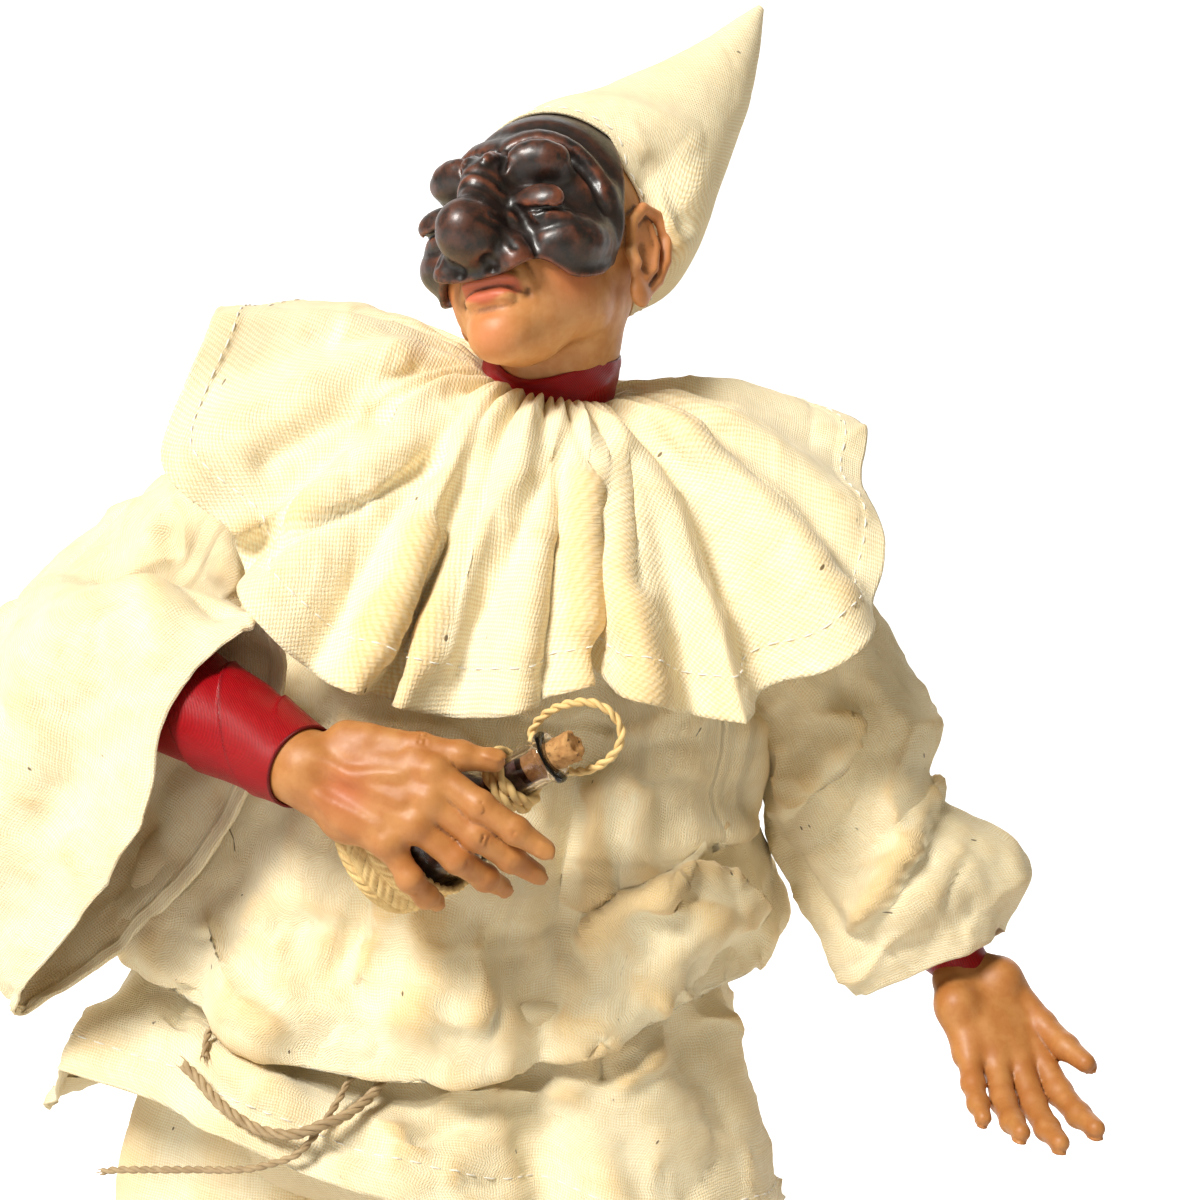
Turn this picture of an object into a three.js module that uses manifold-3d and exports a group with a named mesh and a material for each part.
// A cloth-dressed commedia dell'arte figure, standing on a low turned base.
// Millimetres, +Z up. The origin is the centre of the base's underside, and the figure faces -Y.
// "Left" and "right" are the figure's own left and right.

import * as THREE from "three";
import { mergeVertices } from "three/addons/utils/BufferGeometryUtils.js";
import Module from "manifold-3d";

const wasm = await Module();
wasm.setup();

// Stature and stand
const BODY_HEIGHT = 338;
const BASE_DIAMETER = 124;
const BASE_HEIGHT = 12;

// Made and sewn pieces, each size on its own
const CLEARANCE = 0.3;
const CLOTH = 1.3;
const COLLAR_BAND = 6;
const NECK_RADIUS = 11.6;
const RIBBON_THICKNESS = 0.8;
const WRAP_THICKNESS = 1.1;
const NECK_RIBBON_WIDTH = 8.5;
const MASK_THICKNESS = 1.5;
const MASK_GAP = 0.6;
const FOREARM_RADIUS = 6.6;
const BELT_DIAMETER = 2;
const THIN_TWINE = 1.4;
const SHOE_LENGTH = 50;
const SHOE_WIDTH = 19;

// Miniature bottle
const BOTTLE_DIAMETER = 21;
const BOTTLE_BODY_LENGTH = 19;
const BOTTLE_SHOULDER_LENGTH = 5.5;
const BOTTLE_NECK_LENGTH = 13.5;
const BOTTLE_NECK_DIAMETER = 7.6;
const BOTTLE_LIP_DIAMETER = 9.4;
const BOTTLE_WALL = 1.1;
const CORK_PROUD = 4.5;
const CORK_DEPTH = 5;
const BASKET_WALL = 1.1;
const NECK_TIE_DIAMETER = 1.7;
const HANDLE_DIAMETER = 1.6;

// The pose and carving below are drawn for a 338 mm body and follow its height
const UNIT = BODY_HEIGHT / 338;
const NECK_TO_SOLE = 288 * UNIT;
const NECK_Z = BASE_HEIGHT + NECK_TO_SOLE;

// A point given from the base of the neck, in units of the stature
const at = (x, y, z) => new THREE.Vector3(x * UNIT, y * UNIT, NECK_Z + z * UNIT);
const vec = (x, y, z) => new THREE.Vector3(x, y, z);
const span = (x, y, z) => new THREE.Vector3(x * UNIT, y * UNIT, z * UNIT);
const radians = THREE.MathUtils.degToRad;
const steps = (count, make) => Array.from({ length: count }, (_, i) => make(i, i / (count - 1)));
const bump = (x, width) => Math.exp(-((x / width) ** 2));
const signedPower = (value, power) => Math.sign(value) * Math.abs(value) ** power;

// Geometry tools

function solidGeometry(points, faces) {
  let volume = 0;
  for (const [a, b, c] of faces) {
    volume += points[a].dot(new THREE.Vector3().crossVectors(points[b], points[c]));
  }
  const index = volume > 0 ? faces.flat() : faces.flatMap(([a, b, c]) => [a, c, b]);
  const geometry = new THREE.BufferGeometry();
  geometry.setAttribute("position", new THREE.Float32BufferAttribute(points.flatMap((p) => p.toArray()), 3));
  geometry.setIndex(index);
  return geometry;
}

// Skins equal rings of points into one closed body, capped at its ends or joined end to start
function loft(rings, joined = false) {
  const around = rings[0].length;
  const points = rings.flat();
  const faces = [];
  const bands = joined ? rings.length : rings.length - 1;
  for (let i = 0; i < bands; i += 1) {
    const low = i * around;
    const high = ((i + 1) % rings.length) * around;
    for (let j = 0; j < around; j += 1) {
      const k = (j + 1) % around;
      faces.push([low + j, low + k, high + k], [low + j, high + k, high + j]);
    }
  }
  if (!joined) {
    for (const [ring, order] of [[0, [0, 2, 1]], [rings.length - 1, [0, 1, 2]]]) {
      const middle = points.length;
      points.push(rings[ring].reduce((sum, p) => sum.add(p), vec(0, 0, 0)).divideScalar(around));
      for (let j = 0; j < around; j += 1) {
        const corner = [middle, ring * around + j, ring * around + ((j + 1) % around)];
        faces.push(order.map((o) => corner[o]));
      }
    }
  }
  return solidGeometry(points, faces);
}

// Closes two equal grids of points, a front and a back, into one slab
function slab(front, back) {
  const rows = front.length;
  const columns = front[0].length;
  const points = [...front.flat(), ...back.flat()];
  const under = rows * columns;
  const faces = [];
  for (let i = 0; i + 1 < rows; i += 1) {
    for (let j = 0; j + 1 < columns; j += 1) {
      const a = i * columns + j;
      const [b, c, d] = [a + 1, a + columns + 1, a + columns];
      faces.push([a, b, c], [a, c, d], [under + a, under + c, under + b], [under + a, under + d, under + c]);
    }
  }
  const rim = [
    ...steps(columns, (j) => j),
    ...steps(rows - 1, (i) => (i + 1) * columns + columns - 1),
    ...steps(columns - 1, (j) => rows * columns - 2 - j),
    ...steps(rows - 2, (i) => (rows - 2 - i) * columns),
  ];
  rim.forEach((a, i) => {
    const b = rim[(i + 1) % rim.length];
    faces.push([a, under + b, b], [a, under + a, under + b]);
  });
  return solidGeometry(points, faces);
}

function toManifold(geometry) {
  const bare = geometry.clone();
  bare.deleteAttribute("normal");
  bare.deleteAttribute("uv");
  const merged = mergeVertices(bare, 1e-4);
  return new wasm.Manifold(new wasm.Mesh({
    numProp: 3,
    vertProperties: new Float32Array(merged.attributes.position.array),
    triVerts: new Uint32Array(merged.index.array),
  }));
}

function fromManifold(solid) {
  const mesh = solid.getMesh();
  const geometry = new THREE.BufferGeometry();
  geometry.setAttribute("position", new THREE.BufferAttribute(new Float32Array(mesh.vertProperties), 3));
  geometry.setIndex(new THREE.BufferAttribute(new Uint32Array(mesh.triVerts), 1));
  return geometry;
}

const unite = (first, ...others) => fromManifold(
  others.reduce((solid, other) => solid.add(toManifold(other)), toManifold(first)),
);
const cut = (first, ...others) => fromManifold(
  others.reduce((solid, other) => solid.subtract(toManifold(other)), toManifold(first)),
);

// An oval ring about a centre, spanned by two half axes
function oval(centre, axisA, axisB, count, power = 1) {
  return steps(count, (i) => {
    const turn = (i / count) * 2 * Math.PI;
    return centre.clone()
      .addScaledVector(axisA, signedPower(Math.cos(turn), power))
      .addScaledVector(axisB, signedPower(Math.sin(turn), power));
  });
}

// A smooth closed run of values, each stated at an angle in degrees
function around(stations) {
  const count = stations.length;
  return (degrees) => {
    const first = stations[0][0];
    const angle = first + THREE.MathUtils.euclideanModulo(degrees - first, 360);
    let i = count - 1;
    while (stations[i][0] > angle) i -= 1;
    const start = stations[i][0];
    const end = i + 1 < count ? stations[i + 1][0] : first + 360;
    const t = (angle - start) / (end - start);
    const [p, q, r, s] = [-1, 0, 1, 2].map((k) => stations[(i + k + count) % count][1]);
    return q + 0.5 * t * (r - p + t * (2 * p - 5 * q + 4 * r - s + t * (3 * (q - r) + s - p)));
  };
}

// A round rod along a run of points, with a radius at each point and domed ends
function rod(points, radii, sides) {
  const curve = new THREE.CatmullRomCurve3(points, false, "centripetal");
  const count = 2 * (points.length - 1) + 1;
  const frames = curve.computeFrenetFrames(count - 1, false);
  const radiusAt = (t) => {
    const place = t * (radii.length - 1);
    const low = Math.min(Math.floor(place), radii.length - 2);
    return THREE.MathUtils.lerp(radii[low], radii[low + 1], place - low);
  };
  const rings = steps(count, (i, t) => {
    const radius = radiusAt(t);
    return oval(
      curve.getPoint(t),
      frames.normals[i].clone().multiplyScalar(radius),
      frames.binormals[i].clone().multiplyScalar(radius),
      sides,
    );
  });
  const dome = (ring, outward, radius) => ring.map((p) => {
    const centre = ring.reduce((sum, q) => sum.add(q), vec(0, 0, 0)).divideScalar(ring.length);
    return p.clone().lerp(centre, 0.4).addScaledVector(outward, 0.7 * radius);
  });
  const last = rings[count - 1];
  const back = frames.tangents[0].clone().negate();
  return loft([
    dome(rings[0], back, radii[0]),
    ...rings,
    dome(last, frames.tangents[count - 1], radii[radii.length - 1]),
  ]);
}

// A plain tube of a fixed thickness along hand-chosen points
function cordTube(points, diameter) {
  const sides = 8;
  const section = new THREE.Shape(steps(sides, (i) => {
    const turn = (i / sides) * 2 * Math.PI;
    return new THREE.Vector2(Math.cos(turn), Math.sin(turn)).multiplyScalar(diameter / 2);
  }));
  const path = new THREE.CatmullRomCurve3(points);
  const pitch = 2.5 * diameter;
  return new THREE.ExtrudeGeometry(section, {
    steps: Math.max(6, Math.round(path.getLength() / pitch)),
    extrudePath: path,
    bevelEnabled: false,
  });
}

// Stand

function baseGeometry() {
  const radius = BASE_DIAMETER / 2;
  const step = BASE_HEIGHT / 4;
  const profile = [
    [0, 0],
    [radius, 0],
    [radius, step],
    [radius - 0.8 * step, 1.4 * step],
    [radius - 0.8 * step, 2.4 * step],
    [radius - 1.4 * step, 3.5 * step],
    [radius - 2.2 * step, BASE_HEIGHT],
    [0, BASE_HEIGHT],
  ];
  return turned(profile, 28);
}

// Shoes and trousers

const ANKLE_X = 25 * UNIT;
const ANKLE_Y = 4 * UNIT;
const ANKLE_BACK = 0.12 * SHOE_LENGTH;
const ANKLE_RISE = 0.62 * SHOE_LENGTH;
const ANKLE_TOP = BASE_HEIGHT + CLEARANCE + ANKLE_RISE;
const TOE_OUT = 12;

function shoeGeometry(side) {
  const half = SHOE_WIDTH / 2;
  const stations = [
    [-0.66, 0.25, 0.09],
    [-0.6, 0.66, 0.15],
    [-0.45, 0.92, 0.2],
    [-0.25, 1, 0.26],
    [-0.08, 0.9, 0.36],
    [0.06, 0.78, 0.44],
    [0.22, 0.74, 0.4],
    [0.31, 0.6, 0.34],
    [0.34, 0.25, 0.26],
  ];
  const rings = stations.map(([along, wide, tall]) => {
    const top = tall * SHOE_LENGTH;
    return steps(12, (i) => {
      const turn = (i / 12) * 2 * Math.PI;
      const x = wide * half * signedPower(Math.cos(turn), 0.8);
      const z = Math.max(0, 0.42 * top + 0.58 * top * Math.sin(turn) * (Math.sin(turn) > 0 ? 1 : 0.8));
      return vec(x, along * SHOE_LENGTH, z);
    });
  });
  const ankle = loft([0.32, 0.72, 1].map((share) => oval(
    vec(0, ANKLE_BACK, share * ANKLE_RISE),
    vec(0.62 * half, 0, 0),
    vec(0, 0.8 * half, 0),
    12,
  )));
  return unite(loft(rings), ankle)
    .rotateZ(radians(side * TOE_OUT))
    .translate(side * ANKLE_X, ANKLE_Y, BASE_HEIGHT + CLEARANCE);
}

// The legs end in a hem that hangs a little below the shoes' padded ankles
const LEG_TOP = NECK_Z - 128 * UNIT;
const HEM_DROP = 5.3;
const ANKLE_GRIP = 2;

// One trouser leg, from inside the skirt to its hem: share of the way down, then its middle and half sizes
function legRings(side, grow) {
  const stations = [
    [0, 26, 24, 22, 0],
    [0.24, 27, 24.5, 23, 0],
    [0.48, 27, 22, 21, 1],
    [0.7, 26, 19.5, 19, 2],
    [0.88, 25.5, 18, 17.5, 3],
    [1, 25, 17.2, 17.5, 4],
  ];
  return stations.map(([share, x, wide, deep, back]) => {
    const centre = at(side * x, back, 0).setZ(THREE.MathUtils.lerp(LEG_TOP, ANKLE_TOP - HEM_DROP, share));
    return steps(18, (i) => {
      const turn = (i / 18) * 2 * Math.PI;
      const fold = 1 + 0.045 * Math.cos(5 * turn - 9.5 * share - 9 + side)
        + 0.03 * Math.cos(8 * turn + 6.7 * share + 6.4);
      return centre.clone().add(vec(
        (wide * UNIT * fold + grow) * Math.cos(turn),
        (deep * UNIT * fold + grow) * Math.sin(turn),
        0,
      ));
    });
  });
}

const SEAT_Z = -121 - CLEARANCE / UNIT;

// The legs are open at the hem, and filled from just below the ankles' top
function trousersGeometry() {
  const legs = [-1, 1].map((side) => {
    const outer = legRings(side, 0);
    const rim = legRings(side, -CLOTH)[outer.length - 1];
    const inner = rim.map((p) => p.clone().setZ(ANKLE_TOP - ANKLE_GRIP));
    return loft([...outer, rim, inner]);
  });
  const seatRows = [[SEAT_Z, 38, 26], [-130, 44, 30], [-142, 47, 29], [-154, 40, 24]];
  const seat = loft(seatRows.map(([z, wide, deep]) => (
    oval(at(0, 0, z), span(wide, 0, 0), span(0, deep, 0), 20, 0.85)
  )));
  const shoes = [-1, 1].map((side) => {
    const half = SHOE_WIDTH / 2;
    const slope = vec(0, ANKLE_BACK, 0).applyAxisAngle(vec(0, 0, 1), radians(side * TOE_OUT));
    const middle = vec(side * ANKLE_X, ANKLE_Y, 0).add(slope);
    return loft([0.5 * ANKLE_TOP, ANKLE_TOP + CLEARANCE].map((z) => oval(
      middle.clone().setZ(z),
      vec(0.85 * half + CLEARANCE, 0, 0),
      vec(0, 0.95 * half + CLEARANCE, 0),
      16,
    )));
  });
  return cut(unite(legs[0], legs[1], seat), ...shoes);
}

// Tunic: a loose bloused body over the hidden belt, and a flared skirt below it

const OVERHANG_Z = around([
  [-90, -113], [-45, -118], [-8, -123], [25, -113], [50, -100], [90, -97], [135, -103], [180, -112],
  [225, -117],
]);
const HEM_Z = around([
  [-90, -157], [-76, -149], [-62, -137], [-30, -135], [0, -138], [45, -140], [90, -143], [135, -152],
  [180, -158], [225, -161],
]);

// Rows of the tunic from the neck down, each at a height or a rise over the overhang's or the hem's edge:
// half width to its right and left, front and back depth, and how deep its pleats are
const TUNIC_ROWS = [
  { z: -13, right: 13.5, left: 13.5, front: 13.5, back: 13.5, fold: 0 },
  { z: -16, right: 28, left: 28, front: 17, back: 18, fold: 0 },
  { z: -22, right: 41, left: 41, front: 22, back: 22, fold: 0 },
  { z: -34, right: 47, left: 47, front: 28, back: 27, fold: 0.3 },
  { z: -52, right: 50, left: 51, front: 33, back: 30, fold: 0.6 },
  { z: -72, right: 54, left: 54, front: 37, back: 33, fold: 1 },
  { over: 24, right: 58, left: 56, front: 41, back: 35, fold: 1 },
  { over: 10, right: 61, left: 61, front: 46, back: 38, fold: 1 },
  { over: 2, right: 61, left: 61, front: 47.5, back: 39, fold: 0.9 },
  { over: 0, right: 60, left: 60, front: 46.5, back: 38, fold: 0.8 },
  { over: 1, right: 58, left: 58, front: 45, back: 36.5, fold: 0.7 },
  { over: 9, right: 57, left: 57, front: 43.5, back: 35.5, fold: 0.3 },
  { over: 10, right: 52, left: 52, front: 38, back: 31, fold: 0.3 },
  { over: 4, right: 51.5, left: 51.5, front: 37.5, back: 30.5, fold: 0.3 },
  { over: -2, right: 54, left: 55, front: 40.5, back: 33, fold: 0.6 },
  { hem: 10, right: 63, left: 69, front: 47, back: 41, fold: 1 },
  { hem: 0, right: 67, left: 77, front: 54, back: 46, fold: 1.4 },
];

// Broad pleats that run down the cloth
function pleats(angle) {
  return 1.3 * Math.cos(radians(7 * angle + 40)) + 0.9 * Math.cos(radians(11 * angle - 70))
    - 3.2 * bump(angle - 21, 4) + 1.6 * bump(angle - 30, 5) - 1.5 * bump(angle + 34, 7);
}

// A thick roll of bloused cloth over the figure's left hip
function hipRoll(angle, z) {
  const reach = THREE.MathUtils.smoothstep(angle, 18, 48) * (1 - THREE.MathUtils.smoothstep(angle, 95, 120));
  return reach * (3 * bump(z + 92, 7) - 3 * bump(z + 79, 6));
}

function tunicRing(row, grow, count = 38) {
  return steps(count, (i) => {
    const angle = (i / count) * 360 - 180;
    const [sine, cosine] = [Math.sin(radians(angle)), Math.cos(radians(angle))];
    const z = row.z ?? (row.over !== undefined ? OVERHANG_Z(angle) + row.over : HEM_Z(angle) + row.hem);
    const wide = sine > 0 ? row.left : row.right;
    const deep = cosine > 0 ? row.front : row.back;
    const extra = row.fold * pleats(angle) + (row.fold > 0.5 ? hipRoll(angle, z) : 0);
    return at(
      (wide + extra + grow) * signedPower(sine, 0.85),
      -(deep + extra + grow) * signedPower(cosine, 0.85),
      z,
    );
  });
}

function tunicGeometry() {
  const rows = TUNIC_ROWS.map((row) => tunicRing(row, 0));
  const wall = -CLOTH / UNIT;
  const inside = TUNIC_ROWS.slice(-2).reverse().map((row) => tunicRing(row, wall));
  const crown = tunicRing({ z: -121, right: 50, left: 52, front: 35, back: 29, fold: 0.3 }, 0);
  return loft([...rows, ...inside, crown]);
}

// The tunic's body alone, swollen for cutting what is sewn to it
function tunicBlank(grow) {
  return loft(TUNIC_ROWS.slice(0, 10).map((row) => tunicRing(row, grow / UNIT)));
}

// Collar: a wide ruffle gathered at the neck, in broad flutes

const COLLAR_REACH = around([
  [-95, 61], [-76, 64], [-62, 71], [-48, 64], [-27, 58], [-8, 52], [8, 53], [19, 51], [36, 61], [46, 65],
  [61, 72], [76, 68], [95, 61], [125, 60], [155, 55], [180, 52], [210, 55], [240, 59],
]);
const COLLAR_HEIGHT = around([
  [-95, 3], [-76, -1], [-62, -26], [-48, -41], [-27, -54], [-8, -56], [8, -53], [19, -47], [36, -47],
  [46, -46], [61, -31], [76, -16], [95, 4], [125, 5], [155, -3], [180, -9], [210, -2], [240, 5],
]);
// Pinched valleys between the flutes: angle, depth and half width
const COLLAR_VALLEYS = [
  [-53, 8, 6], [-19, 4, 5], [27, 10, 7], [52, 6, 5], [84, 4, 7], [112, 6, 8], [142, 6, 8], [172, 5, 8],
  [202, 6, 8], [232, 6, 8], [258, 4, 6],
];
const RING_SLOPE = Math.tan(radians(12));
const NECK_X = -1;
const COLLAR_TOP = 0.6;

// A point on the sloping ring that the neck, the ribbon and the collar share
function neckRing(angle, radius, height) {
  const [x, y] = [radius * Math.sin(radians(angle)), -radius * Math.cos(radians(angle))];
  return at(NECK_X, 0, height).add(vec(x, y, y * RING_SLOPE));
}

function collarPoint(angle, share, under) {
  const valley = COLLAR_VALLEYS.reduce((sum, [place, depth, width]) => {
    const apart = THREE.MathUtils.euclideanModulo(angle - place + 180, 360) - 180;
    return sum + depth * bump(apart, width);
  }, 0);
  const reach = (COLLAR_REACH(angle) - valley) * UNIT;
  const drop = (COLLAR_HEIGHT(angle) - 0.35 * valley) * UNIT;
  const band = under * COLLAR_BAND * bump(share, 0.17);
  const start = neckRing(angle, NECK_RADIUS + CLEARANCE, COLLAR_TOP).add(vec(0, 0, -band));
  const end = vec(reach * Math.sin(radians(angle)), -reach * Math.cos(radians(angle)), NECK_Z + drop);
  const away = vec(Math.sin(radians(angle)), -Math.cos(radians(angle)), 0);
  const rise = 1.5 + 6 * Math.sin(radians(angle)) ** 4;
  const lift = start.clone().addScaledVector(away, 20 * UNIT).add(vec(0, 0, rise * UNIT));
  const fall = end.clone().addScaledVector(away, -13 * UNIT).add(vec(0, 0, Math.max(2, -0.42 * drop)));
  const curve = new THREE.CubicBezierCurve3(start, lift, fall, end);
  return curve.getPoint(share).add(vec(0, 0, -under * CLOTH));
}

function collarGeometry(grow = 0) {
  const around360 = steps(72, (i) => i * 5);
  const shares = [0, 0.2, 0.48, 0.78, 1];
  const top = shares.map((share) => around360.map((a) => collarPoint(a, share, 0).add(vec(0, 0, grow))));
  const under = shares.map((share) => around360.map((a) => collarPoint(a, share, 1).add(vec(0, 0, -grow))));
  return loft([...top, ...under.reverse()], true);
}

// The neck ribbon stands full width at the sides and nape, and is pressed down under the chin
function neckRibbonGeometry() {
  const inner = NECK_RADIUS + CLEARANCE;
  const low = COLLAR_TOP * UNIT + CLEARANCE;
  const ring = (radius, share) => steps(30, (i) => {
    const fromChin = THREE.MathUtils.euclideanModulo(i * 12 + 206, 360) - 180;
    const width = NECK_RIBBON_WIDTH * (1 - 0.64 * bump(fromChin, 50));
    return neckRing(i * 12, radius, (low + share * width) / UNIT);
  });
  return loft([
    ring(inner, 0),
    ring(inner + RIBBON_THICKNESS, 0),
    ring(inner + 1.6 * RIBBON_THICKNESS, 0.5),
    ring(inner + RIBBON_THICKNESS, 1),
    ring(inner, 1),
  ], true);
}

// Sleeves: each ring hangs between a top and a bottom seam point, with a half thickness across it

const RIGHT_SLEEVE = [
  { top: [-38, 3, -13], bottom: [-38, 3, -46], half: [0, -16, 0], bow: 0 },
  { top: [-62, -5, -24], bottom: [-50, 0, -63], half: [8, -15, 0], bow: 0 },
  { top: [-76, -19, -49], bottom: [-72, -14, -93], half: [18, -5, 0], bow: 0 },
  { top: [-64, -37, -46], bottom: [-78, -29, -115], half: [12, 12, 0], bow: 2, arch: 2 },
  { top: [-49, -43, -46], bottom: [-73, -35, -122], half: [7.5, 12, -1], bow: 5, arch: 4 },
  { top: [-37, -47, -47], bottom: [-68, -40, -125], half: [5.5, 11.5, -2], bow: 8, arch: 5.5 },
];
const LEFT_SLEEVE = [
  { top: [38, 3, -13], bottom: [38, 3, -46], half: [0, 16, 0], bow: 0 },
  { top: [66, 2, -26], bottom: [50, 0, -62], half: [0, 16, 0], bow: 0 },
  { top: [83, 0, -44], bottom: [60, -2, -77], half: [2, 16, 0], bow: 0 },
  { top: [84, -2, -58], bottom: [68, -4, -87], half: [2, 14, 0], bow: 0 },
  { top: [99, -4, -62], bottom: [71, -7, -90], half: [2, 14.5, 0], bow: 0 },
  { top: [109, -4, -69], bottom: [75, -8, -95], half: [2, 13.5, 0], bow: 0 },
  { top: [107, -5, -82], bottom: [80, -8, -99], half: [2, 12.5, 0], bow: 0 },
];

function sleeveRing(row, wall) {
  const top = at(...row.top);
  const bottom = at(...row.bottom);
  const middle = top.clone().add(bottom).multiplyScalar(0.5);
  const length = top.clone().sub(bottom).multiplyScalar(0.5);
  const half = span(...row.half);
  const thin = (axis) => axis.clone().setLength(axis.length() - wall);
  const [a, b] = [thin(length), thin(half)];
  return steps(20, (i) => {
    const turn = (i / 20) * 2 * Math.PI;
    const soft = 1 + 0.05 * Math.cos(3 * turn + row.top[0]);
    const front = Math.sin(turn) < 0 ? 3 * Math.max(0, Math.cos(turn)) : 0;
    return middle.clone()
      .addScaledVector(a, Math.cos(turn))
      .addScaledVector(b, soft * Math.sin(turn))
      .add(span((row.bow - front * (row.arch ?? 0)) * Math.sin(turn) ** 2, 0, 0));
  });
}

function sleeveGeometry(rows, hollowFrom) {
  const outer = rows.map((row) => sleeveRing(row, 0));
  const inner = rows.slice(hollowFrom).map((row) => sleeveRing(row, CLOTH));
  return loft([...outer, ...inner.reverse()]);
}

// Arms and hands

const ARMS = {
  right: { elbow: [-73, -21, -61], wrist: [-24, -61, -67.5], girth: 1.04 },
  left: { elbow: [72, -2, -67], wrist: [98, -6, -89], girth: 0.74 },
};

// A round forearm stretch between the elbow and the wrist, swollen towards the elbow
function forearm(arm, grow, from, to) {
  const elbow = at(...arm.elbow);
  const wrist = at(...arm.wrist);
  const along = wrist.clone().sub(elbow).normalize();
  const across = vec(0, 0, 1).cross(along).normalize();
  const up = along.clone().cross(across);
  const rows = steps(3, (i, t) => {
    const share = THREE.MathUtils.lerp(from, to, t);
    const radius = arm.girth * FOREARM_RADIUS * (1.55 - 0.57 * share) + grow;
    return oval(
      elbow.clone().lerp(wrist, share),
      up.clone().multiplyScalar(radius),
      across.clone().multiplyScalar(0.9 * radius),
      14,
    );
  });
  return rows;
}

function wristRibbonGeometry(arm) {
  const outer = forearm(arm, CLEARANCE + WRAP_THICKNESS, 0.02, 0.95);
  const inner = forearm(arm, CLEARANCE, 0.02, 0.95).reverse();
  return loft([...outer, ...inner], true);
}

// Finger lengths and thicknesses, shared by both hands; "across" is the knuckle's place over the palm
const FINGERS = {
  thumb: { across: 0.44, along: 0.4, length: 21, radius: 2.5 },
  index: { across: 0.36, along: 1, length: 22, radius: 2.35 },
  middle: { across: 0.11, along: 1.05, length: 22, radius: 2.35 },
  ring: { across: -0.14, along: 1, length: 20.5, radius: 2.25 },
  little: { across: -0.38, along: 0.84, length: 16, radius: 2 },
};
const PALM_LENGTH = 21;
const PALM_WIDTH = 17.5;

// Each pose gives the palm's direction and back, and how each finger spreads and curls, in degrees
const HAND_POSES = {
  right: {
    wrist: ARMS.right.wrist,
    along: [0.94, -0.3, -0.06],
    back: [-0.28, -0.93, 0.22],
    thumbSide: 1,
    thumb: { spread: 10, curls: [6, 4, 6] },
    index: { spread: -16, curls: [4, 14, 10] },
    middle: { spread: -18, curls: [14, 22, 14] },
    ring: { spread: -22, curls: [20, 30, 22] },
    little: { spread: -42, curls: [14, 40, 30] },
  },
  left: {
    wrist: ARMS.left.wrist,
    along: [0.5, -0.58, -0.645],
    back: [-0.12, 0.8, -0.6],
    thumbSide: -1,
    thumb: { spread: 8, curls: [12, 10, 8] },
    index: { spread: -4, curls: [12, 18, 12] },
    middle: { spread: -14, curls: [12, 18, 12] },
    ring: { spread: -22, curls: [14, 20, 12] },
    little: { spread: -22, curls: [10, 12, 8] },
  },
};

function handFrame(pose) {
  const along = vec(...pose.along).normalize();
  const back = vec(...pose.back);
  back.addScaledVector(along, -back.dot(along)).normalize();
  const thumbward = back.clone().cross(along).multiplyScalar(pose.thumbSide);
  return { along, back, thumbward, turn: pose.thumbSide, origin: at(...pose.wrist) };
}

function fingerRod(frame, finger, bend) {
  const base = frame.origin.clone()
    .addScaledVector(frame.along, finger.along * PALM_LENGTH * UNIT)
    .addScaledVector(frame.thumbward, finger.across * PALM_WIDTH * UNIT);
  const heading = frame.along.clone().applyAxisAngle(frame.back, radians(bend.spread * frame.turn));
  const hinge = heading.clone().cross(frame.back).normalize();
  const points = [base.clone().addScaledVector(heading, -4 * UNIT), base.clone()];
  const place = base.clone();
  [0.42, 0.32, 0.26].forEach((share, i) => {
    heading.applyAxisAngle(hinge, -radians(bend.curls[i]));
    place.addScaledVector(heading, share * finger.length * UNIT);
    points.push(place.clone());
  });
  const radii = [1.1, 1.08, 1, 0.92, 0.78].map((share) => share * finger.radius * UNIT);
  return rod(points, radii, 6);
}

function handGeometry(side) {
  const pose = HAND_POSES[side];
  const frame = handFrame(pose);
  const wrist = (0.98 * ARMS[side].girth * FOREARM_RADIUS) / UNIT;
  const palmRows = [
    [-0.06, 0.94 * wrist, 0.84 * wrist],
    [0.1, 1.02 * wrist, 0.92 * wrist],
    [0.28, 7.2, 4.9],
    [0.5, 8, 4.2],
    [0.82, 8.8, 3.4],
    [1.02, 8.2, 2.7],
    [1.14, 6.2, 1.5],
  ];
  const palm = loft(palmRows.map(([share, wide, thick]) => oval(
    frame.origin.clone().addScaledVector(frame.along, share * PALM_LENGTH * UNIT),
    frame.thumbward.clone().multiplyScalar(wide * UNIT),
    frame.back.clone().multiplyScalar(thick * UNIT),
    14,
    0.9,
  )));
  const ball = rod([
    frame.origin.clone().addScaledVector(frame.thumbward, 1.5 * UNIT),
    frame.origin.clone().addScaledVector(frame.along, 8 * UNIT).addScaledVector(frame.thumbward, 6.5 * UNIT),
  ], [3.2 * UNIT, 3 * UNIT], 8);
  const core = loft(forearm(ARMS[side], 0, 0, 1.03));
  const names = ["thumb", "index", "middle", "ring", "little"];
  const fingers = names.map((name) => fingerRod(frame, FINGERS[name], pose[name]));
  return unite(palm, ball, core, ...fingers);
}

// Bottle with its cork, raffia basket and neck tie, all about one slanted axis

const BOTTLE_LENGTH = BOTTLE_BODY_LENGTH + BOTTLE_SHOULDER_LENGTH + BOTTLE_NECK_LENGTH;
const BOTTLE_FOOT = at(-11.5, -48.5, -81.5);
const BOTTLE_AXIS = vec(0.7, -0.3, 0.65).normalize();
const BOTTLE_TURN = new THREE.Quaternion().setFromUnitVectors(vec(0, 0, 1), BOTTLE_AXIS);

function onBottle(geometry) {
  return geometry.applyQuaternion(BOTTLE_TURN).translate(...BOTTLE_FOOT.toArray());
}

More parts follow.
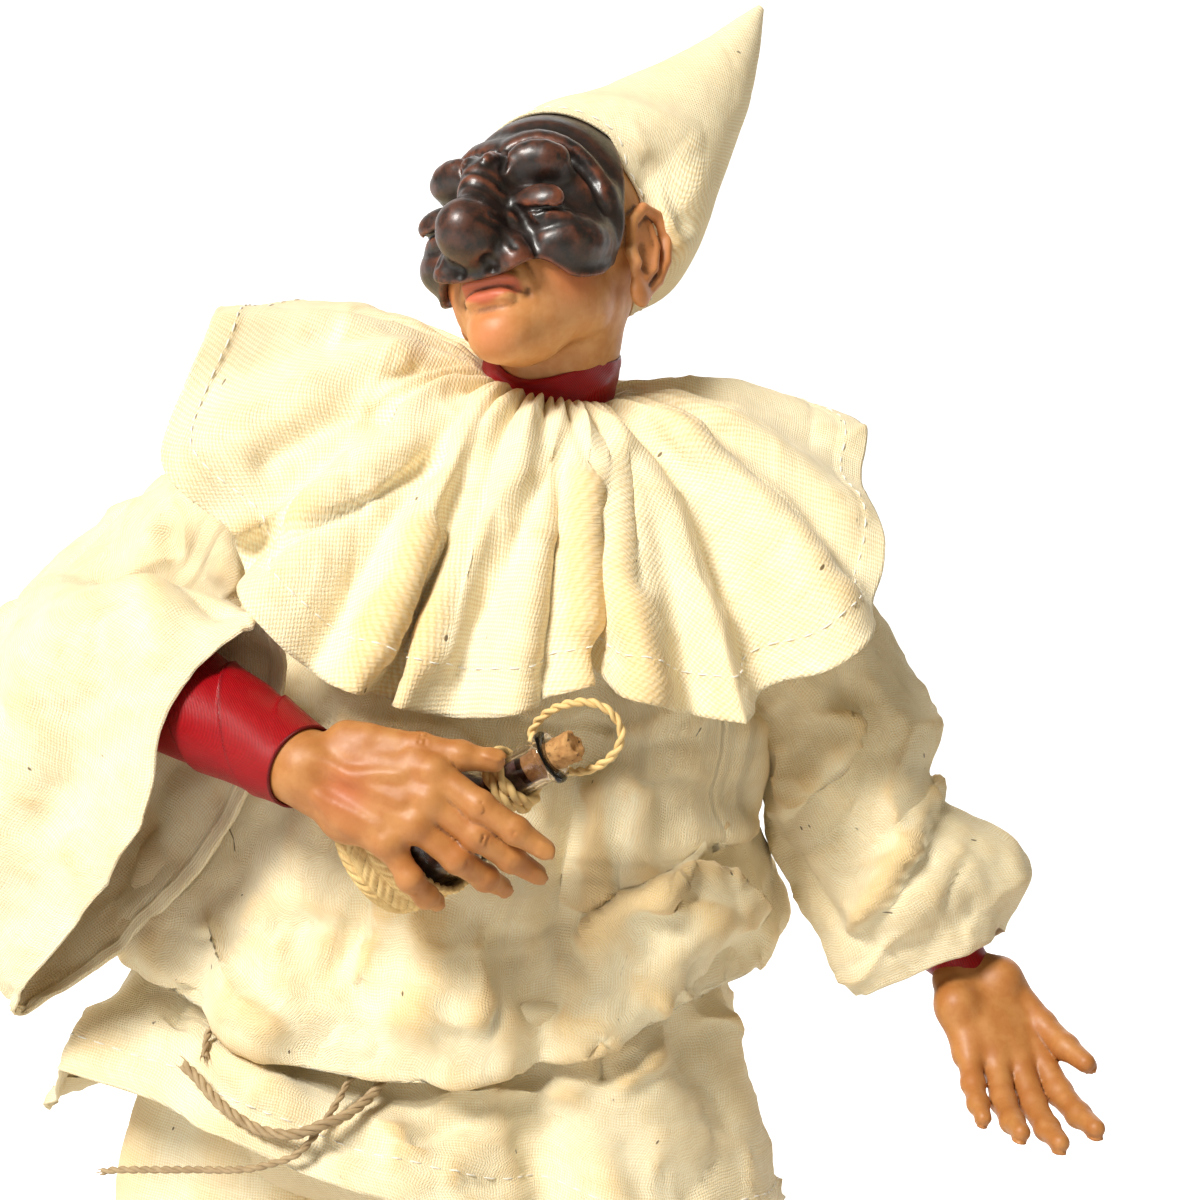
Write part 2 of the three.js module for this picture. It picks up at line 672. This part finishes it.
function turned(profile, segments = 16) {
  const geometry = new THREE.LatheGeometry(profile.map(([r, z]) => new THREE.Vector2(r, z)), segments);
  return geometry.rotateX(Math.PI / 2);
}

function bottleProfile(grow) {
  const body = BOTTLE_DIAMETER / 2 + grow;
  const neck = BOTTLE_NECK_DIAMETER / 2 + grow;
  const shoulderEnd = BOTTLE_BODY_LENGTH + BOTTLE_SHOULDER_LENGTH;
  return [
    [0.8 * body, -grow],
    [body, 2],
    [body, 0.82 * BOTTLE_BODY_LENGTH],
    [0.9 * body, BOTTLE_BODY_LENGTH],
    [THREE.MathUtils.lerp(body, neck, 0.62), BOTTLE_BODY_LENGTH + 0.4 * BOTTLE_SHOULDER_LENGTH],
    [neck, shoulderEnd],
    [neck, BOTTLE_LENGTH - 1.8 + Math.min(grow, 0)],
  ];
}

function bottleGeometry() {
  const lip = BOTTLE_LIP_DIAMETER / 2;
  const bore = BOTTLE_NECK_DIAMETER / 2 - BOTTLE_WALL;
  const outer = bottleProfile(0);
  const inner = bottleProfile(-BOTTLE_WALL).reverse().slice(1);
  return onBottle(turned([
    [0, 0],
    ...outer,
    [lip, BOTTLE_LENGTH - 1.5],
    [lip, BOTTLE_LENGTH - 0.4],
    [lip - 0.5, BOTTLE_LENGTH],
    [bore, BOTTLE_LENGTH],
    ...inner,
    [0, BOTTLE_WALL],
  ]));
}

function corkGeometry() {
  const bore = BOTTLE_NECK_DIAMETER / 2 - BOTTLE_WALL;
  const low = BOTTLE_LENGTH - CORK_DEPTH;
  return onBottle(turned([
    [0, low],
    [bore - CLEARANCE, low],
    [bore - CLEARANCE, BOTTLE_LENGTH],
    [bore + 0.15, BOTTLE_LENGTH + CLEARANCE],
    [bore + 0.15, BOTTLE_LENGTH + CORK_PROUD],
    [0, BOTTLE_LENGTH + CORK_PROUD],
  ], 10));
}

function basketProfile(grow) {
  const body = BOTTLE_DIAMETER / 2 + CLEARANCE + grow;
  return [[0.8 * body, -CLEARANCE - grow], [body, 2], [body, 0.6 * BOTTLE_BODY_LENGTH]];
}

function basketGeometry() {
  return onBottle(turned([
    [0, -CLEARANCE - BASKET_WALL],
    ...basketProfile(BASKET_WALL),
    ...basketProfile(0).reverse(),
    [0, -CLEARANCE],
  ]));
}

const TIE_Z = BOTTLE_BODY_LENGTH + BOTTLE_SHOULDER_LENGTH + 1.2;

function neckTieGeometry() {
  const inner = BOTTLE_NECK_DIAMETER / 2 + CLEARANCE;
  const tie = NECK_TIE_DIAMETER;
  return onBottle(turned([
    [inner, TIE_Z],
    [inner + 0.7 * tie, TIE_Z],
    [inner + tie, TIE_Z + 0.5 * tie],
    [inner + 0.75 * tie, TIE_Z + tie],
    [inner + tie, TIE_Z + 1.5 * tie],
    [inner + 0.7 * tie, TIE_Z + 2 * tie],
    [inner, TIE_Z + 2 * tie],
    [inner, TIE_Z],
  ], 14));
}

// The whole bottle swollen by a clearance, for cutting what lies against it
function bottleEnvelope(grow) {
  const wall = CLEARANCE + BASKET_WALL + grow;
  const neck = BOTTLE_NECK_DIAMETER / 2 + CLEARANCE + NECK_TIE_DIAMETER + grow;
  const body = BOTTLE_DIAMETER / 2 + wall;
  return onBottle(turned([
    [0, -wall],
    [0.84 * body, -wall],
    [body, 1.6],
    [body, BOTTLE_BODY_LENGTH],
    [neck, BOTTLE_BODY_LENGTH + BOTTLE_SHOULDER_LENGTH],
    [neck, BOTTLE_LENGTH + CORK_PROUD],
    [0, BOTTLE_LENGTH + CORK_PROUD],
  ]));
}

// Head, in its own frame: X to its left, Y back, Z up, centred between the ears

const HEAD_UNIT = 1.08 * UNIT;
const HEAD_CENTRE = at(-5.7, -4, 25.2);
const FACE = vec(-0.524, -0.801, 0.29).normalize();
const HEAD_LEFT = vec(0.834, -0.42, 0.356);
HEAD_LEFT.addScaledVector(FACE, -HEAD_LEFT.dot(FACE)).normalize();
const HEAD_UP = FACE.clone().cross(HEAD_LEFT).normalize();
const HEAD_MATRIX = new THREE.Matrix4()
  .makeBasis(HEAD_LEFT, FACE.clone().negate(), HEAD_UP)
  .setPosition(HEAD_CENTRE);
const inHead = (x, y, z) => vec(x, y, z).multiplyScalar(HEAD_UNIT).applyMatrix4(HEAD_MATRIX);

// Rough distance to an ellipsoid, negative inside
function ellipsoid(p, centre, radii) {
  const q = [0, 1, 2].map((i) => (p[i] - centre[i]) / radii[i]);
  const length = Math.hypot(...q);
  const slope = Math.hypot(...q.map((value, i) => value / radii[i]));
  return length < 1e-6 ? -Math.min(...radii) : (length * (length - 1)) / slope;
}

function blend(a, b, softness) {
  const h = THREE.MathUtils.clamp(0.5 + (0.5 * (b - a)) / softness, 0, 1);
  return THREE.MathUtils.lerp(b, a, h) - softness * h * (1 - h);
}

function skullDistance(p) {
  const mirrored = [Math.abs(p[0]), p[1], p[2]];
  let distance = ellipsoid(p, [0, 3, 5], [15.8, 19, 18.4]);
  distance = blend(distance, ellipsoid(p, [0, -8.5, -9], [11.8, 11, 15.5]), 5);
  distance = blend(distance, ellipsoid(p, [0, -14, -22], [5.4, 4.8, 4.6]), 3.5);
  distance = blend(distance, ellipsoid(mirrored, [8.2, -3, -12], [4.6, 7.5, 5.5]), 4);
  distance = blend(distance, ellipsoid(p, [0, -18.2, -14.6], [5.2, 1.8, 1.1]), 0.9);
  return blend(distance, ellipsoid(p, [0, -17.7, -17.4], [4.4, 1.9, 1.3]), 0.9);
}

function maskDistance(p) {
  const mirrored = [Math.abs(p[0]), p[1], p[2]];
  let distance = skullDistance(p) - (MASK_THICKNESS + MASK_GAP) / HEAD_UNIT;
  distance = blend(distance, ellipsoid(p, [0, -20.5, 0], [3.4, 5.6, 8]), 3);
  distance = blend(distance, ellipsoid(p, [0, -25, -8.8], [5.4, 6.4, 5.6]), 2.5);
  distance = blend(distance, ellipsoid(mirrored, [5, -19.6, -10.8], [3.2, 4, 3]), 1.5);
  distance = blend(distance, ellipsoid(mirrored, [7.4, -17.6, 0], [4.4, 3.2, 2.8]), 1.6);
  distance = blend(distance, ellipsoid(mirrored, [6.8, -18.4, 6.4], [5.2, 3.6, 3]), 1.6);
  distance = blend(distance, ellipsoid(mirrored, [10.8, -13.4, -6], [4.6, 5.8, 4.6]), 2);
  return distance;
}

// How far a form reaches from the head's centre along a direction
function reachOf(distance, direction) {
  let [near, far] = [4, 46];
  for (let i = 0; i < 22; i += 1) {
    const middle = 0.5 * (near + far);
    if (distance(direction.map((d) => d * middle)) > 0) {
      far = middle;
    } else {
      near = middle;
    }
  }
  return far;
}

function faceDirection(azimuth, elevation) {
  const [a, e] = [radians(azimuth), radians(elevation)];
  return [Math.sin(a) * Math.cos(e), -Math.cos(a) * Math.cos(e), Math.sin(e)];
}

// The skull as rings about the axis through both ears, fine enough to draw the profile
function skullGeometry(grow) {
  const rings = steps(13, (i, t) => {
    const side = radians(THREE.MathUtils.lerp(-84, 84, t));
    return steps(24, (j) => {
      const turn = (j / 24) * 2 * Math.PI;
      const direction = [Math.sin(side), -Math.cos(side) * Math.cos(turn), Math.cos(side) * Math.sin(turn)];
      const reach = reachOf(skullDistance, direction) + grow / HEAD_UNIT;
      return inHead(...direction.map((d) => d * reach));
    });
  });
  return loft(rings);
}

function neckGeometry(grow) {
  const foot = at(NECK_X, 0, -13).add(vec(0, 0, CLEARANCE));
  const rows = [
    [foot, 1, 0],
    [at(NECK_X, 0, 10), 1, 1],
    [inHead(0, 8, -12), 0.95, 1],
    [inHead(0, 6, -4), 0.9, 1],
  ];
  return loft(rows.map(([centre, share, slope]) => {
    const radius = share * NECK_RADIUS + grow;
    return oval(centre, vec(radius, 0, 0), vec(0, radius, slope * radius * RING_SLOPE), 18);
  }));
}

// An ear: a flat oval shell with a raised rim and a lobe
function earGeometry(side) {
  const rows = [[-1.4, 0.5], [0.2, 0.86], [2, 1], [3.2, 0.96], [3.6, 0.72], [2.4, 0.55]];
  return loft(rows.map(([out, share]) => steps(12, (i) => {
    const turn = (i / 12) * 2 * Math.PI;
    const lobe = Math.sin(turn) < 0 ? 0.82 : 1.05;
    return inHead(
      side * (14.8 + 0.9 * out),
      4.2 + 4.2 * share * lobe * Math.cos(turn) + 0.35 * out,
      -2 + 8.8 * share * Math.sin(turn),
    );
  })));
}

function headGeometry() {
  return unite(skullGeometry(0), neckGeometry(0), earGeometry(1), earGeometry(-1));
}

// The half mask: from below the cheeks up under the hat, ear to ear
const MASK_LOW = around([
  [-180, -26], [-78, -26], [-64, -34], [-45, -37], [-26, -31], [-12, -35], [0, -36], [12, -35], [26, -31],
  [45, -37], [64, -34], [78, -26],
]);
const MASK_HIGH = 76;
const MASK_SIDE = 78;

function maskGeometry() {
  const grid = (distance, grow) => steps(11, (i, v) => steps(25, (j, u) => {
    const azimuth = THREE.MathUtils.lerp(-MASK_SIDE, MASK_SIDE, u);
    const elevation = THREE.MathUtils.lerp(MASK_LOW(azimuth), MASK_HIGH - 0.0035 * azimuth ** 2, v);
    const direction = faceDirection(azimuth, elevation);
    const reach = reachOf(distance, direction) + grow / HEAD_UNIT;
    return inHead(...direction.map((d) => d * reach));
  }));
  return slab(grid(maskDistance, 0), grid(skullDistance, MASK_GAP));
}

// Soft conical hat, drawn down over the back of the head
const HAT_ROWS = [
  { share: 0, wide: 19, long: 21.6, sway: 0 },
  { share: 0.1, wide: 18.8, long: 20.6, sway: 0.5 },
  { share: 0.18, wide: 17, long: 18.6, sway: 0.8 },
  { share: 0.27, wide: 15.2, long: 16.4, sway: 1 },
  { share: 0.37, wide: 13.3, long: 14, sway: 1 },
  { share: 0.5, wide: 11, long: 11.4, sway: 1 },
  { share: 0.75, wide: 6.3, long: 6.4, sway: 1 },
  { share: 1, wide: 0.9, long: 0.9, sway: 0 },
];
const HAT_BRIM = vec(0, 6.2, 7.9);
const HAT_TIP = vec(32.5, 15.5, 49.5);
const HAT_SWAY = vec(1.3, 1.2, -1.3);

// Rings of the cone, pushed out wherever the head or the mask under them would show through
function hatRings(rows, grow) {
  return rows.map(({ share, wide, long, sway }) => {
    const across = vec(1, 0, 0).lerp(vec(0.8, -0.1, -0.6), share).setLength(wide + grow / HEAD_UNIT);
    const back = vec(0, 0.7, -0.714).lerp(vec(0, 1, -0.25), share).setLength(long + grow / HEAD_UNIT);
    const middle = HAT_BRIM.clone().lerp(HAT_TIP, share).addScaledVector(HAT_SWAY, sway);
    return oval(middle, across, back, 20).map((p) => {
      const direction = p.clone().normalize().toArray();
      const least = reachOf(maskDistance, direction) + (MASK_GAP + CLOTH + grow) / HEAD_UNIT;
      return inHead(...p.setLength(Math.max(p.length(), least)).toArray());
    });
  });
}

function hatGeometry() {
  const outer = loft(hatRings(HAT_ROWS, 0));
  const hollow = loft(hatRings(HAT_ROWS.slice(1, 7), -CLOTH));
  const swollen = (distance) => loft(steps(11, (i, t) => {
    const side = radians(THREE.MathUtils.lerp(-84, 84, t));
    return steps(20, (j) => {
      const turn = (j / 20) * 2 * Math.PI;
      const direction = [Math.sin(side), -Math.cos(side) * Math.cos(turn), Math.cos(side) * Math.sin(turn)];
      const reach = reachOf(distance, direction) + (2.4 * CLEARANCE) / HEAD_UNIT;
      return inHead(...direction.map((d) => d * reach));
    });
  }));
  return cut(outer, hollow, swollen(maskDistance), earGeometry(1), earGeometry(-1));
}

// Twine: a belt hidden under the blouse, and three loose ends that hang in front of the skirt

const BELT_ROW = { over: 6.5, right: 51.5, left: 51.5, front: 37.6, back: 30.6, fold: 0.3 };

function beltGeometry() {
  const radius = BELT_DIAMETER / 2;
  const stand = (radius + 2 * CLEARANCE) / UNIT;
  const ring = (extra, lift) => {
    const row = { ...BELT_ROW, over: BELT_ROW.over + lift / UNIT };
    return tunicRing(row, stand + extra / UNIT);
  };
  return loft(steps(6, (i) => {
    const turn = (i / 6) * 2 * Math.PI;
    return ring(radius * Math.cos(turn), radius * Math.sin(turn));
  }), true);
}

const THICK_END_ROUTE = [
  at(-2, -42.8, -119.5), at(-3.2, -45.4, -123.4), at(-6.6, -50.3, -126.8), at(-10.4, -53.4, -128.6),
  at(-14.6, -54, -131), at(-19.4, -53, -132.2), at(-23.2, -51.6, -132), at(-26.6, -50.4, -131.2),
  at(-30.8, -47.7, -129.8), at(-34.2, -45.1, -128.2), at(-37.2, -42.8, -127.4),
];
const LONG_END_ROUTE = [
  at(-6.5, -42.6, -119.5), at(-8.3, -45.3, -123.4), at(-9.2, -48, -126), at(-11, -51.4, -130.2),
  at(-13.8, -54.2, -134.4), at(-18.9, -54.2, -137.6), at(-23.6, -53, -139.8), at(-30.3, -50, -142.4),
  at(-37.2, -48, -144.7), at(-44.3, -46, -147), at(-47.3, -45, -148.4),
];
const SHORT_END_ROUTE = [
  at(-9, -41.3, -117.8), at(-14.4, -40.8, -118), at(-20.2, -39.8, -118.2), at(-25.5, -38.6, -118.4),
  at(-30.2, -37.2, -118.9), at(-33.6, -36.8, -120.6), at(-34.7, -38.4, -122.3), at(-34.4, -40.8, -123.8),
  at(-34, -42.4, -125.2),
];

// Raffia handle: a stiff loop that springs from the bottle's neck below the lip and returns to it
const HANDLE_ROUTE = [
  at(11, -56.4, -56.1), at(10.6, -55.4, -54.4), at(11.4, -56.2, -52.2), at(13, -57.6, -50),
  at(15.8, -59, -48), at(19.2, -60, -47), at(22.6, -60.4, -47.8), at(24.9, -60.4, -50.4),
  at(25, -60.4, -53.4), at(23.4, -59.8, -56.2), at(21, -57.9, -58.4), at(18.6, -55.5, -59.6),
  at(16.8, -53.6, -60), at(14.8, -55, -59.5),
];

// Assembly

const FINISH = {
  muslin: { color: 0xf3ead0, roughness: 0.95, metalness: 0 },
  satin: { color: 0xa8101c, roughness: 0.45, metalness: 0 },
  paintedClay: { color: 0xcf8350, roughness: 0.45, metalness: 0 },
  lacquer: { color: 0x2a1712, roughness: 0.2, metalness: 0 },
  leather: { color: 0x15120f, roughness: 0.4, metalness: 0 },
  wood: { color: 0x3a2416, roughness: 0.5, metalness: 0 },
  glass: { color: 0x6b5560, roughness: 0.1, metalness: 0 },
  cork: { color: 0xb07c42, roughness: 0.9, metalness: 0 },
  raffia: { color: 0xe0c07c, roughness: 0.8, metalness: 0 },
  twine: { color: 0xa98c5e, roughness: 0.85, metalness: 0 },
};

function piece(name, geometry, finish) {
  const mesh = new THREE.Mesh(geometry, new THREE.MeshStandardMaterial(FINISH[finish]));
  mesh.name = name;
  return mesh;
}

const figure = new THREE.Group();
const bottleRoom = bottleEnvelope(CLEARANCE);
const sewnTo = [tunicBlank(CLEARANCE), collarGeometry(CLEARANCE)];
const armRoom = (side) => loft(forearm(ARMS[side], 2 * CLEARANCE + WRAP_THICKNESS, 0, 1));

figure.add(
  piece("base", baseGeometry(), "wood"),
  piece("right_shoe", shoeGeometry(-1), "leather"),
  piece("left_shoe", shoeGeometry(1), "leather"),
  piece("trousers", trousersGeometry(), "muslin"),
  piece("tunic", cut(tunicGeometry(), bottleRoom), "muslin"),
  piece("right_sleeve", cut(sleeveGeometry(RIGHT_SLEEVE, 2), ...sewnTo, armRoom("right")), "muslin"),
  piece("left_sleeve", cut(sleeveGeometry(LEFT_SLEEVE, 3), ...sewnTo, armRoom("left")), "muslin"),
  piece("collar", collarGeometry(), "muslin"),
  piece("neck_ribbon", neckRibbonGeometry(), "satin"),
  piece("head", headGeometry(), "paintedClay"),
  piece("mask", maskGeometry(), "lacquer"),
  piece("hat", hatGeometry(), "muslin"),
  piece("right_hand", cut(handGeometry("right"), bottleRoom), "paintedClay"),
  piece("left_hand", handGeometry("left"), "paintedClay"),
  piece("right_wrist_ribbon", wristRibbonGeometry(ARMS.right), "satin"),
  piece("left_wrist_ribbon", wristRibbonGeometry(ARMS.left), "satin"),
  piece("bottle", bottleGeometry(), "glass"),
  piece("bottle_cork", corkGeometry(), "cork"),
  piece("bottle_basket", basketGeometry(), "raffia"),
  piece("bottle_neck_tie", neckTieGeometry(), "raffia"),
  piece("waist_twine", beltGeometry(), "twine"),
  piece("twine_thick_end", cordTube(THICK_END_ROUTE, BELT_DIAMETER), "twine"),
  piece("twine_long_end", cordTube(LONG_END_ROUTE, THIN_TWINE), "twine"),
  piece("twine_short_end", cordTube(SHORT_END_ROUTE, THIN_TWINE), "twine"),
  piece("bottle_handle", cordTube(HANDLE_ROUTE, HANDLE_DIAMETER), "raffia"),
);

export default figure;
